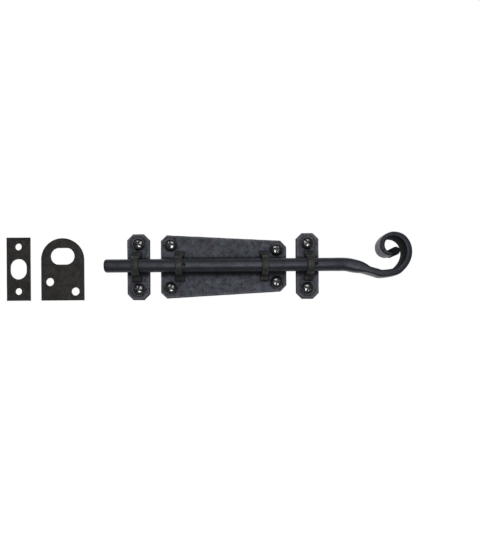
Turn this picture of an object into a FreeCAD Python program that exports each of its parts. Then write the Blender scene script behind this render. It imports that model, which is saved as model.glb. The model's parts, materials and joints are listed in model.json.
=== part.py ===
import FreeCAD, Part
import math
import os

# Hand-forged iron slide bolt for a door, with its surface keeper and two loose strikes.
#
# Frame, in millimetres: +X runs along the bolt toward its curl, +Z is up the door,
# and the door's face is the plane y = 0. Everything stands out of it toward -Y.
# The origin is the centre of the backplate's back face.
# The bolt is drawn thrown: its nose is through the keeper and both stop pins
# rest against their straps.

Vec = FreeCAD.Vector
TO_VIEWER = Vec(0, -1, 0)

# Round rod of the bolt, from its nose past the keeper to the neck past the guide
rod_diameter = 10.0
rod_tip_round = 1.8
nose_reach = 15.6
neck_reach = 13.2
under_rod_gap = 1.5

# Backplate, a long plate that tapers toward the curl
plate_thickness = 2.5
backplate_length = 96.0
backplate_left_height = 49.0
backplate_right_height = 38.5
backplate_bevel = 0.6

# Keeper and guide plates, two alike
small_plate_width = 17.6
small_plate_height = 50.5
small_plate_bevel = 1.1
keeper_gap = 8.2
guide_gap = 7.2
corner_cut = 4.6

# Straps, bent over the rod and riveted through the plates by their feet
strap_width = 5.2
strap_thickness = 2.4
strap_foot_length = 3.4
strap_foot_width = 6.4
strap_foot_thickness = 2.0
strap_heel_radius = 1.0
strap_toe_radius = 1.2
strap_edge_round = 0.5
tenon_diameter = 2.8
keeper_strap_shift = -0.9
guide_strap_shift = 0.6
left_strap_inset = 14.6
right_strap_inset = 17.0

# Tenons and rivets are hammered into a shallow cone, flush with the plate's back
peen_diameter = 4.2
peen_depth = 0.7

# Stop pins, driven into blind holes in the front of the rod
stop_pin_diameter = 2.5
stop_pin_depth = 4.0
stop_pin_proud = 1.2

# Friction spring, a bowed leaf behind the rod
leaf_left_gap = 4.8
leaf_right_gap = 4.4
leaf_tab_length = 9.0
leaf_width = 7.0
leaf_thickness = 0.6
rivet_inset = 4.5
rivet_diameter = 2.8
rivet_head_diameter = 4.8
rivet_head_height = 0.45

# Wood screws
screw_diameter = 4.8
screw_head_diameter = 9.6
screw_head_height = 3.0
screw_head_rim = 0.9
screw_length = 25.4
screw_tip_length = 6.0
screw_tip_diameter = 0.5
recess_length = 5.4
recess_width = 1.2
recess_depth = 1.8
small_plate_screw_inset = 7.85
left_screw_inset = 7.4
left_screw_edge_inset = 7.5
right_screw_inset = 7.6
right_screw_edge_inset = 7.15

# Loose strikes, both laid on the door's plane to the left of the bolt
strike_thickness = 1.6
strike_bottom_z = -25.0
mortise_gap = 8.4
mortise_width = 18.0
mortise_height = 48.4
mortise_slot_play = (2.7, 5.6)
mortise_hole_diameter = 5.2
mortise_hole_spacing = 34.2
half_round_gap = 17.6
half_round_width = 32.8
half_round_height = 47.7
half_round_slot_play = (8.4, 2.8)
half_round_slot_drop = 13.8
half_round_hole_diameter = 6.2
half_round_hole_half_span = (9.75, 3.7)
half_round_hole_drop = 37.2

# Forged tail: round at first, then the neck flattens and sinks, and the band curls up and over
round_neck_stations = (0.0, 2.0, 4.0)
neck_stations = (
    # distance past the rod's end, z of the middle, thickness, width, squareness
    (7.0, -0.35, 10.0, 10.3, 2.3),
    (10.5, -1.1, 9.9, 10.8, 2.6),
    (15.0, -2.1, 9.1, 11.5, 3.0),
    (18.5, -3.3, 7.5, 12.1, 3.4),
    (22.0, -4.8, 5.8, 12.6, 4.0),
    (27.0, -6.3, 5.7, 13.2, 4.0),
    (32.0, -7.5, 5.75, 13.7, 4.0),
)
curl_centre = (37.7, 12.2)
curl_radius = 15.25
curl_tightening = (0.238, -0.0147)
curl_start_angle = -78.0
curl_end_angle = 276.0
curl_step = 17.7
band_thickness_start = 5.75
band_thickness_end = 2.6
band_width_start = 14.0
band_width_end = 17.0
band_squareness = 4.6
bead_diameter = 6.1
bead_overlap = 0.8

# Clearances
strap_clearance = 0.25
stop_clearance = 0.15
spring_clearance = 0.05
turn_clearance = 0.05
screw_hole_clearance = 0.3

# Places that follow, from the backplate's ends outward
backplate_left = -backplate_length / 2
backplate_right = backplate_length / 2
backplate_slope = (backplate_right_height - backplate_left_height) / 2 / backplate_length
keeper_x = backplate_left - keeper_gap - small_plate_width / 2
guide_x = backplate_right + guide_gap + small_plate_width / 2
keeper_strap_x = keeper_x + keeper_strap_shift
left_strap_x = backplate_left + left_strap_inset
right_strap_x = backplate_right - right_strap_inset
guide_strap_x = guide_x + guide_strap_shift
rod_tip_x = keeper_x - small_plate_width / 2 - nose_reach
rod_end_x = guide_x + small_plate_width / 2 + neck_reach
half_round_x = rod_tip_x - half_round_gap - half_round_width / 2
mortise_x = half_round_x - half_round_width / 2 - mortise_gap - mortise_width / 2
leaf_left_x = left_strap_x + strap_width / 2 + leaf_left_gap
leaf_right_x = right_strap_x - strap_width / 2 - leaf_right_gap
rivet_x = leaf_right_x - rivet_inset
left_screw_x = backplate_left + left_screw_inset
right_screw_x = backplate_right - right_screw_inset

# Sizes that follow
rod_radius = rod_diameter / 2
rod_y = -(plate_thickness + under_rod_gap + rod_radius)
strap_inner_radius = rod_radius + strap_clearance
strap_outer_radius = strap_inner_radius + strap_thickness
tenon_z = strap_outer_radius + strap_foot_length / 2
stop_pin_offset = strap_width / 2 + stop_clearance + stop_pin_diameter / 2
small_plate_screw_z = small_plate_height / 2 - small_plate_screw_inset


def save(name, shape):
    """Write one sub-part, and say how big it is."""
    shape.exportStep("parts/" + name + ".step")
    print(name, "volume", round(shape.Volume, 2), "solids", len(shape.Solids), shape.isValid())


def cylinder_to_viewer(diameter, back_y, front_y, x, z):
    """A round bar along Y, from back_y out to front_y."""
    return Part.makeCylinder(diameter / 2, back_y - front_y, Vec(x, back_y, z), TO_VIEWER)


def flat_plate(corners, thickness):
    """A closed outline of (x, z) corners, from the door's face out to its thickness."""
    points = [Vec(x, 0, z) for x, z in corners]
    face = Part.Face(Part.makePolygon(points + points[:1]))
    return face.extrude(TO_VIEWER * thickness)


def bevel_front(plate, front_y, size):
    """Chamfer every edge that bounds a plate's front face."""
    on_front = [edge for edge in plate.Edges
                if all(abs(vertex.Y - front_y) < 1e-6 for vertex in edge.Vertexes)]
    return plate.makeChamfer(size, on_front)


def backplate_edge_z(x):
    """Height of the backplate's upper edge at one place along it."""
    return backplate_left_height / 2 + backplate_slope * (x - backplate_left)


left_screw_z = backplate_edge_z(left_screw_x) - left_screw_edge_inset
right_screw_z = backplate_edge_z(right_screw_x) - right_screw_edge_inset


def cut_corner_outline(x, length, left_height, right_height):
    """Corners of a plate, tapered or straight, with its four corners cut off."""
    half = length / 2
    slope = (right_height - left_height) / 2 / length

    def edge_z(along):
        return left_height / 2 + slope * (along + half)

    upper = [
        (-half, edge_z(-half) - corner_cut),
        (-half + corner_cut, edge_z(-half + corner_cut)),
        (half - corner_cut, edge_z(half - corner_cut)),
        (half, edge_z(half) - corner_cut),
    ]
    lower = [(along, -z) for along, z in reversed(upper)]
    return [(x + along, z) for along, z in upper + lower]


def flush_tenon(diameter, front_y, x, z):
    """A round tenon through the plate, hammered into a cone at its back."""
    shank = cylinder_to_viewer(diameter, 0, front_y, x, z)
    peen = Part.makeCone(peen_diameter / 2, diameter / 2, peen_depth, Vec(x, 0, z), TO_VIEWER)
    return shank.fuse(peen).removeSplitter()


def strap_tenons(x):
    """The two tenons under a strap's feet."""
    upper = flush_tenon(tenon_diameter, -plate_thickness, x, tenon_z)
    lower = flush_tenon(tenon_diameter, -plate_thickness, x, -tenon_z)
    return [upper, lower]


def screw_hole(x, z):
    """The clearance hole for one wood screw."""
    return cylinder_to_viewer(screw_diameter + 2 * screw_hole_clearance, 0, -plate_thickness, x, z)


def backplate():
    """The tapered plate, pierced for four screws, two straps and the spring's rivet."""
    outline = cut_corner_outline(0, backplate_length, backplate_left_height, backplate_right_height)
    plate = bevel_front(flat_plate(outline, plate_thickness), -plate_thickness, backplate_bevel)
    cutters = strap_tenons(left_strap_x) + strap_tenons(right_strap_x)
    cutters.append(flush_tenon(rivet_diameter, -plate_thickness, rivet_x, 0))
    for side in (1, -1):
        cutters.append(screw_hole(left_screw_x, side * left_screw_z))
        cutters.append(screw_hole(right_screw_x, side * right_screw_z))
    return plate.cut(cutters)


def small_plate(x, strap_x):
    """A keeper or guide plate, pierced for two screws and one strap."""
    outline = cut_corner_outline(x, small_plate_width, small_plate_height, small_plate_height)
    plate = bevel_front(flat_plate(outline, plate_thickness), -plate_thickness, small_plate_bevel)
    cutters = strap_tenons(strap_x)
    for side in (1, -1):
        cutters.append(screw_hole(x, side * small_plate_screw_z))
    return plate.cut(cutters)


def strap(x):
    """A bar bent over the rod, with a foot and a tenon at each end."""
    left_x = x - strap_width / 2
    foot_end = strap_outer_radius + strap_foot_length
    crown = under_rod_gap + rod_radius

    def at(z, height):
        return Vec(left_x, -plate_thickness - height, z)

    toe, heel = strap_toe_radius, strap_heel_radius
    top = strap_foot_thickness
    corner = 1 - math.sqrt(0.5)

    def foot_corners(side):
        """The outline of one foot, from under its toe to where it meets the leg."""
        under, toe_low = at(side * foot_end, 0), at(side * foot_end, top - toe)
        toe_middle = at(side * (foot_end - toe * corner), top - toe * corner)
        toe_high, heel_low = at(side * (foot_end - toe), top), at(side * (strap_outer_radius + heel), top)
        return under, toe_low, toe_middle, toe_high, heel_low

    def side_edges(side):
        """One foot and leg, from under the foot's toe up to the arch."""
        under, toe_low, toe_middle, toe_high, heel_low = foot_corners(side)
        heel_middle = at(side * (strap_outer_radius + heel * corner), top + heel * corner)
        heel_high, shoulder = at(side * strap_outer_radius, top + heel), at(side * strap_outer_radius, crown)
        return [
            Part.makeLine(under, toe_low),
            Part.Arc(toe_low, toe_middle, toe_high).toShape(),
            Part.makeLine(toe_high, heel_low),
            Part.Arc(heel_low, heel_middle, heel_high).toShape(),
            Part.makeLine(heel_high, shoulder),
            Part.makeLine(under, at(side * strap_inner_radius, 0)),
            Part.makeLine(at(side * strap_inner_radius, 0), at(side * strap_inner_radius, crown)),
        ]

    def arch(radius):
        return Part.Arc(at(radius, crown), at(0, crown + radius), at(-radius, crown)).toShape()

    feet = []
    for side in (1, -1):
        under, toe_low, toe_middle, toe_high, heel_low = foot_corners(side)
        inner_end = at(side * strap_outer_radius, 0)
        spread = [
            Part.makeLine(under, toe_low),
            Part.Arc(toe_low, toe_middle, toe_high).toShape(),
            Part.makeLine(toe_high, heel_low),
            Part.makeLine(heel_low, inner_end),
            Part.makeLine(inner_end, under),
        ]
        pad = Part.Face(Part.Wire(Part.__sortEdges__(spread))).extrude(Vec(strap_foot_width, 0, 0))
        pad.translate(Vec((strap_width - strap_foot_width) / 2, 0, 0))
        feet.append(pad)

    edges = side_edges(1) + side_edges(-1) + [arch(strap_outer_radius), arch(strap_inner_radius)]
    profile = Part.Face(Part.Wire(Part.__sortEdges__(edges)))
    bar = profile.extrude(Vec(strap_width, 0, 0))
    crown_y = -plate_thickness - crown - strap_outer_radius
    outer_arcs = [edge for edge in bar.Edges
                  if edge.Curve.TypeId == "Part::GeomCircle"
                  and abs(edge.Curve.Radius - strap_outer_radius) < 1e-6
                  and edge.BoundBox.YMin < crown_y + 0.1]
    bar = bar.makeChamfer(strap_edge_round, outer_arcs)
    return bar.fuse(feet + strap_tenons(x)).removeSplitter()


def friction_spring():
    """A leaf riveted flat at one end and bowed out to the back of the rod."""
    rise = under_rod_gap - spring_clearance - leaf_thickness
    leaf_bend_x = leaf_right_x - leaf_tab_length
    crown_x = (leaf_left_x + leaf_bend_x) / 2

    def at(x, height):
        return Vec(x, -plate_thickness - height, -leaf_width / 2)

    back = Part.Arc(at(leaf_left_x, 0), at(crown_x, rise), at(leaf_bend_x, 0)).toShape()
    front = Part.Arc(at(leaf_left_x, leaf_thickness), at(crown_x, rise + leaf_thickness),
                     at(leaf_bend_x, leaf_thickness)).toShape()
    edges = [
        back, front,
        Part.makeLine(at(leaf_left_x, 0), at(leaf_left_x, leaf_thickness)),
        Part.makeLine(at(leaf_bend_x, 0), at(leaf_right_x, 0)),
        Part.makeLine(at(leaf_right_x, 0), at(leaf_right_x, leaf_thickness)),
        Part.makeLine(at(leaf_right_x, leaf_thickness), at(leaf_bend_x, leaf_thickness)),
    ]
    profile = Part.Face(Part.Wire(Part.__sortEdges__(edges)))
    leaf = profile.extrude(Vec(0, 0, leaf_width))
    return leaf.cut(cylinder_to_viewer(rivet_diameter, 0, -plate_thickness - under_rod_gap, rivet_x, 0))


def spring_rivet():
    """The rivet that holds the leaf to the backplate."""
    leaf_front = -plate_thickness - leaf_thickness
    shank = flush_tenon(rivet_diameter, leaf_front, rivet_x, 0)
    head = cylinder_to_viewer(rivet_head_diameter, leaf_front, leaf_front - rivet_head_height, rivet_x, 0)
    return shank.fuse(head).removeSplitter()


def stop_pin(strap_x):
    """A pin in the front of the rod, just clear of its strap, with a domed top."""
    x = strap_x + stop_pin_offset
    surface = rod_y - rod_radius
    pin = cylinder_to_viewer(stop_pin_diameter, surface + stop_pin_depth, surface - stop_pin_proud, x, 0)
    top = [edge for edge in pin.Edges if edge.BoundBox.YMax < surface - stop_pin_proud + 1e-6]
    return pin.makeFillet(stop_pin_proud / 2, top)


def pin_hole(strap_x):
    """The blind hole in the rod for one stop pin."""
    surface = rod_y - rod_radius
    return cylinder_to_viewer(stop_pin_diameter, surface + stop_pin_depth, surface - stop_pin_proud,
                              strap_x + stop_pin_offset, 0)


def bolt_rod():
    """The round rod, with a rounded nose and two blind holes for the stop pins."""
    rod = Part.makeCylinder(rod_radius, rod_end_x - rod_tip_x, Vec(rod_tip_x, rod_y, 0), Vec(1, 0, 0))
    nose = [edge for edge in rod.Edges if edge.BoundBox.XMax < rod_tip_x + 1e-6]
    rod = rod.makeFillet(rod_tip_round, nose)
    return rod.cut([pin_hole(left_strap_x), pin_hole(guide_strap_x)])


def outer_radius(angle):
    """Radius of the curl's outside at an angle up from +X, in degrees."""
    turn = math.radians(angle)
    first, second = curl_tightening
    return curl_radius * math.exp(-first * turn - second * turn * turn)


def curl_station(angle):
    """Middle, thickness, width and squareness of the band at one angle of the curl."""
    along = (angle - curl_start_angle) / (curl_end_angle - curl_start_angle)
    thickness = band_thickness_start + along * (band_thickness_end - band_thickness_start)
    width = band_width_start + along * (band_width_end - band_width_start)
    radius = outer_radius(angle) - thickness / 2
    turn = math.radians(angle)
    along_rod = curl_centre[0] + radius * math.cos(turn)
    z = curl_centre[1] + radius * math.sin(turn)
    return (along_rod, z, thickness, width, band_squareness)


def band_section(x, z, direction, thickness, width, squareness):
    """A closed curve across the band: round at squareness 2, boxier as it grows."""
    normal = Vec(-direction.z, 0, direction.x)
    count = 24
    points = []
    for index in range(count):
        turn = 2 * math.pi * index / count
        across = math.copysign(abs(math.cos(turn)) ** (2 / squareness), math.cos(turn)) * width / 2
        through = math.copysign(abs(math.sin(turn)) ** (2 / squareness), math.sin(turn)) * thickness / 2
        points.append(Vec(x, rod_y + across, z) + normal * through)
    curve = Part.BSplineCurve()
    curve.interpolate(points, PeriodicFlag=True, Parameters=[float(index) for index in range(count + 1)])
    return Part.Wire([curve.toShape()])


def curl_tail():
    """The forged tail: neck, curl and the rolled bead at its end."""
    angles = []
    angle = curl_start_angle
    while angle < curl_end_angle + curl_step / 4:
        angles.append(angle)
        angle += curl_step
    stations = [(reach, 0.0, rod_diameter, rod_diameter, 2.0) for reach in round_neck_stations]
    stations += list(neck_stations) + [curl_station(angle) for angle in angles]
    middles = [Vec(rod_end_x + station[0], 0, station[1]) for station in stations]
    sections = []
    for index, station in enumerate(stations):
        before = middles[max(index - 1, 0)]
        after = middles[min(index + 1, len(middles) - 1)]
        direction = Vec(1, 0, 0) if index == 0 else (after - before).normalize()
        reach, z, thickness, width, squareness = station
        x = rod_end_x + (turn_clearance if index == 0 else reach)
        sections.append(band_section(x, z, direction, thickness, width, squareness))
    band = Part.makeLoft(sections, True, False)
    end = middles[-1]
    along = (middles[-1] - middles[-2]).normalize()
    toward_centre = Vec(-along.z, 0, along.x)
    drop = bead_diameter / 2 - stations[-1][2] / 2
    middle = end + along * (bead_diameter / 2 - bead_overlap) + toward_centre * drop
    bead = Part.makeCylinder(bead_diameter / 2, band_width_end,
                             Vec(middle.x, rod_y + band_width_end / 2, middle.z), TO_VIEWER)
    rims = [edge for edge in bead.Edges if edge.Curve.TypeId == "Part::GeomCircle"]
    bead = bead.makeFillet(bead_diameter / 6, rims)
    return band.fuse(bead).removeSplitter()


def screw(plate_front_y, x, z, turn):
    """A round-headed wood screw with a cross recess, turned by so many degrees."""
    head_radius, shank_radius = screw_head_diameter / 2, screw_diameter / 2
    dome = screw_head_height - screw_head_rim
    dome_radius = (head_radius ** 2 + dome ** 2) / (2 * dome)
    middle_r = head_radius * 0.6
    middle_h = screw_head_height - dome_radius + math.sqrt(dome_radius ** 2 - middle_r ** 2)
    tip_start = -screw_length + screw_tip_length

    def at(radius, height):
        return Vec(radius, -height, 0)

    corners = [
        at(0, -screw_length), at(screw_tip_diameter / 2, -screw_length), at(shank_radius, tip_start),
        at(shank_radius, 0), at(head_radius, 0), at(head_radius, screw_head_rim),
    ]
    edges = [Part.makeLine(first, second) for first, second in zip(corners, corners[1:])]
    edges.append(Part.Arc(corners[-1], at(middle_r, middle_h), at(0, screw_head_height)).toShape())
    edges.append(Part.makeLine(at(0, screw_head_height), corners[0]))
    body = Part.Face(Part.Wire(edges)).revolve(Vec(0, 0, 0), Vec(0, 1, 0), 360)
    recess = []
    for length, width in ((recess_length, recess_width), (recess_width, recess_length)):
        recess.append(Part.makeBox(length, recess_depth, width,
                                   Vec(-length / 2, -screw_head_height, -width / 2)))
    body = body.cut(recess)
    body.rotate(Vec(0, 0, 0), Vec(0, 1, 0), turn)
    body.translate(Vec(x, plate_front_y, z))
    return body


def round_ended_slot(width, height, x, z):
    """A slot through a strike, round at both ends of its longer side."""
    radius = min(width, height) / 2
    reach_x, reach_z = width / 2 - radius, height / 2 - radius
    ends = [cylinder_to_viewer(2 * radius, 0, -strike_thickness, x + side * reach_x, z + side * reach_z)
            for side in (1, -1)]
    middle_x, middle_z = (width - 2 * radius, height) if width > height else (width, height - 2 * radius)
    middle = Part.makeBox(middle_x, strike_thickness, middle_z,
                          Vec(x - middle_x / 2, -strike_thickness, z - middle_z / 2))
    return middle.fuse(ends).removeSplitter()


def mortise_strike():
    """A flat oblong strike with an upright oval and a screw hole above and below it."""
    left, right = mortise_x - mortise_width / 2, mortise_x + mortise_width / 2
    top = strike_bottom_z + mortise_height
    plate = flat_plate([(left, strike_bottom_z), (right, strike_bottom_z), (right, top), (left, top)],
                       strike_thickness)
    middle_z = strike_bottom_z + mortise_height / 2
    slot_width, slot_height = [rod_diameter + play for play in mortise_slot_play]
    cutters = [round_ended_slot(slot_width, slot_height, mortise_x, middle_z)]
    for side in (1, -1):
        cutters.append(cylinder_to_viewer(mortise_hole_diameter, 0, -strike_thickness,
                                          mortise_x, middle_z + side * mortise_hole_spacing / 2))
    return plate.cut(cutters)


def half_round_strike():
    """A flat strike with a half-round top, a level slot and two screw holes set askew."""
    radius = half_round_width / 2
    centre_z = strike_bottom_z + half_round_height - radius
    left, right = half_round_x - radius, half_round_x + radius
    low_left, low_right = Vec(left, 0, strike_bottom_z), Vec(right, 0, strike_bottom_z)
    high_left, high_right = Vec(left, 0, centre_z), Vec(right, 0, centre_z)
    edges = [
        Part.makeLine(high_left, low_left),
        Part.makeLine(low_left, low_right),
        Part.makeLine(low_right, high_right),
        Part.Arc(high_right, Vec(half_round_x, 0, centre_z + radius), high_left).toShape(),
    ]
    plate = Part.Face(Part.Wire(edges)).extrude(TO_VIEWER * strike_thickness)
    top = strike_bottom_z + half_round_height
    across, up = half_round_hole_half_span
    slot_width, slot_height = [rod_diameter + play for play in half_round_slot_play]
    cutters = [round_ended_slot(slot_width, slot_height, half_round_x, top - half_round_slot_drop)]
    for side in (1, -1):
        cutters.append(cylinder_to_viewer(half_round_hole_diameter, 0, -strike_thickness,
                                          half_round_x + side * across,
                                          top - half_round_hole_drop - side * up))
    return plate.cut(cutters)


os.makedirs("parts", exist_ok=True)

save("backplate", backplate())
save("keeper_plate", small_plate(keeper_x, keeper_strap_x))
save("guide_plate", small_plate(guide_x, guide_strap_x))

save("keeper_strap", strap(keeper_strap_x))
save("backplate_strap_left", strap(left_strap_x))
save("backplate_strap_right", strap(right_strap_x))
save("guide_strap", strap(guide_strap_x))

save("friction_spring", friction_spring())
save("spring_rivet", spring_rivet())

save("bolt_rod", bolt_rod())
save("stop_pin_middle", stop_pin(left_strap_x))
save("stop_pin_curl_end", stop_pin(guide_strap_x))
save("curl_tail", curl_tail())

screws = (
    ("screw_keeper_top", keeper_x, small_plate_screw_z, 35),
    ("screw_keeper_bottom", keeper_x, -small_plate_screw_z, 20),
    ("screw_backplate_left_top", left_screw_x, left_screw_z, 0),
    ("screw_backplate_left_bottom", left_screw_x, -left_screw_z, 25),
    ("screw_backplate_right_top", right_screw_x, right_screw_z, 5),
    ("screw_backplate_right_bottom", right_screw_x, -right_screw_z, 20),
    ("screw_guide_top", guide_x, small_plate_screw_z, 40),
    ("screw_guide_bottom", guide_x, -small_plate_screw_z, 25),
)
for name, x, z, turn in screws:
    save(name, screw(-plate_thickness, x, z, turn))

save("mortise_strike", mortise_strike())
save("half_round_strike", half_round_strike())
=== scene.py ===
import json
import math

import bmesh
import bpy
from bpy.props import FloatProperty, FloatVectorProperty, PointerProperty
from mathutils import Matrix, Vector, noise
from mathutils.geometry import convex_hull_2d, intersect_point_line

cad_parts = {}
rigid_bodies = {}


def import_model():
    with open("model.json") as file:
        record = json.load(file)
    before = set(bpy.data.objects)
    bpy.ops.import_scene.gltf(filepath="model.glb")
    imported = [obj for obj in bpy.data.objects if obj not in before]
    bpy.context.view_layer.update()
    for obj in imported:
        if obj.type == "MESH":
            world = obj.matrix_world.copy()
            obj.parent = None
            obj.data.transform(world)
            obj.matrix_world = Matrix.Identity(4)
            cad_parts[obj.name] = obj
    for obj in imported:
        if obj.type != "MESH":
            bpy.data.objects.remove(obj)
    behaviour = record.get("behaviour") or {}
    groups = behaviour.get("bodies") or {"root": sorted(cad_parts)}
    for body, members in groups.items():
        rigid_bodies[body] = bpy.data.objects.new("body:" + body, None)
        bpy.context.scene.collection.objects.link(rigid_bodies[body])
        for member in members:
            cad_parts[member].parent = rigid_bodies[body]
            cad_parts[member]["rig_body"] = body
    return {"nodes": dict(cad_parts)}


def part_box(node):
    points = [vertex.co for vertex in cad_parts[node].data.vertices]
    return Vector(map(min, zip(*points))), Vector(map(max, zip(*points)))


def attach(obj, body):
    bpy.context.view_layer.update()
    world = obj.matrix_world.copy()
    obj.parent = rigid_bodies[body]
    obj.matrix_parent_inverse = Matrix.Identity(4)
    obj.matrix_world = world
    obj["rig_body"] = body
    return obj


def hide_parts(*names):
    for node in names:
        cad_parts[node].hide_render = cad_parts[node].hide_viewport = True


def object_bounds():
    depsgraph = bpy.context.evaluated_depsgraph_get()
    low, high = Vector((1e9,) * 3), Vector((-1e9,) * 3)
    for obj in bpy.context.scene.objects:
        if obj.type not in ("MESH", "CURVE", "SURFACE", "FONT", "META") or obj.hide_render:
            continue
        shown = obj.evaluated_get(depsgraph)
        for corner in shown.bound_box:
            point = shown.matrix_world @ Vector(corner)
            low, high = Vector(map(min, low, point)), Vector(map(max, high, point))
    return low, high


bl_info = {
    "name": "Forged Slide Bolt",
    "version": (1, 0, 0),
    "blender": (4, 5, 0),
    "location": "View3D > Sidebar > Slide Bolt",
    "description": "Builds a hand-forged iron slide bolt with plates, straps, screws and strikes",
    "category": "Object",
}

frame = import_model()
CAD_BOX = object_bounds()

# The frame's own directions: +X runs along the bolt toward its curl, +Z is up the door,
# and the door's face is y = 0, with everything standing out of it toward -Y.
MM = 0.001
ALONG = Vector((1, 0, 0))
INTO_DOOR = Vector((0, 1, 0))
UP = Vector((0, 0, 1))
DOOR_FACE = 0.0
QUARTER_TURN = math.radians(90)
FACE_ON = Matrix.Rotation(QUARTER_TURN, 4, "X")

# Two places nearer than this count as one, and faces that meet more sharply than this look creased
FLUSH = 0.01 * MM
CREASE = math.radians(38)

PLATE_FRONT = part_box("backplate")[0].y
ROD_LOW, ROD_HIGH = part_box("bolt_rod")
ROD_Y = (ROD_LOW.y + ROD_HIGH.y) / 2
ROD_RADIUS = (ROD_HIGH.z - ROD_LOW.z) / 2
SCREWS = sorted(name for name in frame["nodes"] if name.startswith("screw_"))
STRAPS = {
    "keeper_strap": "keeper_plate",
    "backplate_strap_left": "backplate",
    "backplate_strap_right": "backplate",
    "guide_strap": "guide_plate",
}

# Where each group of pieces starts in the hammering's noise, and the step from piece to piece
PLATE_MARKS, STRAP_MARKS = (3.1, 7), (11.7, 5)
ROD_MARKS, TAIL_MARKS, MORTISE_MARKS, HALF_ROUND_MARKS = 41.3, 67.9, 91.5, 103.2

# How dark the painted shade on the plates is, and how far it reaches: in rod radii for the painted
# shadow under the rod, in mm for the painted shade round the screw heads and beside the straps
ROD_PAINTED_SHADOW, HEAD_PAINTED_SHADE, STRAP_PAINTED_SHADE = 0.85, 0.6, 0.75
ROD_PAINTED_SHADOW_REACH, HEAD_PAINTED_SHADE_REACH, STRAP_PAINTED_SHADE_REACH = 1.7, 0.9, 1.0


# ---------------------------------------------------------------- sizes and colours


def length(name, description, millimetres):
    """A size property, given in millimetres and shown in the scene's own length unit."""
    return FloatProperty(name=name, description=description, default=millimetres * MM, min=0.0,
                         precision=5, subtype="DISTANCE", unit="LENGTH")


def angle(name, description, degrees):
    """An angle property, whose default is given in degrees."""
    return FloatProperty(name=name, description=description, default=math.radians(degrees),
                         subtype="ANGLE", unit="ROTATION")


def share(name, description, default):
    """A plain number from 0 to 1."""
    return FloatProperty(name=name, description=description, default=default, min=0.0, max=1.0,
                         subtype="FACTOR")


def brightness(name, description, default):
    """Strength of a light without edges, where 1 is plain white."""
    return FloatProperty(name=name, description=description, default=default, min=0.0, soft_max=4.0)


def power(name, description, default):
    """The power of a light, in watts."""
    return FloatProperty(name=name, description=description, default=default, min=0.0, unit="POWER")


def colour(name, description, default):
    """A linear colour property."""
    return FloatVectorProperty(name=name, description=description, default=default, size=3,
                               min=0.0, max=1.0, subtype="COLOR")


class PlateSizes(bpy.types.PropertyGroup):
    """Plates and strikes."""

    backplate_bevel: length("Backplate Bevel", "Chamfer round the backplate's front", 0.6)
    small_plate_bevel: length("Small Plate Bevel", "Chamfer round the keeper and guide plates", 1.1)
    mesh_cell: length("Mesh Cell", "Spacing of the mesh that carries the hammer marks", 1.1)
    dent_size: length("Dent Size", "Width of one hammer mark on a plate", 5.0)
    dent_depth: length("Dent Depth", "Depth of the hammer marks on a plate", 0.16)
    wear_and_highlight_reach: length("Wear and Highlight Reach", "How far the rubbed line spreads from an edge", 0.9)
    screw_hole: length("Screw Hole", "Diameter of the clearance holes under the screws", 5.4)
    tenon: length("Tenon", "Diameter of the tenons and the rivet through the plates", 2.8)
    peen: length("Peen", "Diameter of a tenon where it is hammered flush at the back", 4.2)
    peen_depth: length("Peen Depth", "Depth of the hammered cone", 0.7)
    tenon_gap: length("Tenon Gap", "Fine line round a hammered tenon", 0.04)
    hole_break: length("Hole Edge", "Break of the edge round a strike's holes", 0.12)
    mortise_slot_width: length("Mortise Slot Width", "Width of the upright oval", 12.7)
    mortise_slot_height: length("Mortise Slot Height", "Height of the upright oval", 15.6)
    mortise_hole: length("Mortise Hole", "Diameter of its screw holes", 5.2)
    mortise_spacing: length("Mortise Spacing", "From one of its screw holes to the other", 34.2)
    half_slot_width: length("Half-Round Slot Width", "Width of the level slot", 18.4)
    half_slot_height: length("Half-Round Slot Height", "Height of the level slot", 12.8)
    half_slot_drop: length("Half-Round Slot Drop", "From the top down to the slot's middle", 13.8)
    half_hole: length("Half-Round Hole", "Diameter of its screw holes", 6.2)
    half_hole_across: length("Half-Round Hole Across", "From its middle to either hole", 9.75)
    half_hole_drop: length("Half-Round Hole Drop", "From the top to the middle of both holes", 37.2)
    half_hole_skew: length("Half-Round Hole Skew", "How far each hole is above or below that", 3.7)


class BarSizes(bpy.types.PropertyGroup):
    """Straps, spring, rod and pins."""

    strap_width: length("Strap Width", "Width over the rod; the feet are hammered wider", 5.2)
    strap_thickness: length("Strap Thickness", "Thickness of a strap over the rod", 2.4)
    strap_foot: length("Strap Foot", "Thickness of a strap's foot", 2.0)
    strap_foot_length: length("Strap Foot Length", "From the leg's outside to the toe", 3.4)
    strap_heel: length("Strap Heel", "Bend radius between a leg and its foot", 1.0)
    strap_dent: length("Strap Dent", "Depth of the hammer marks on a strap", 0.14)
    nose_round: length("Nose Round", "Radius round the rod's nose", 1.8)
    rod_dent: length("Rod Dent", "Depth of the hammer marks on the rod", 0.10)
    pin_depth: length("Pin Depth", "How deep a stop pin is driven", 4.0)
    foot_darkening: share("Foot Darkening", "How far the straps' feet are blackened", 0.3)
    pin_soot: share("Pin Soot", "How far the stop pins are blackened", 0.7)
    spring_tab: length("Spring Tab", "Flat part of the spring at its rivet", 9.0)
    spring_thickness: length("Spring Thickness", "Thickness of the leaf", 0.6)
    rivet_head: length("Rivet Head", "Height of the spring rivet's head", 0.45)


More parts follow.
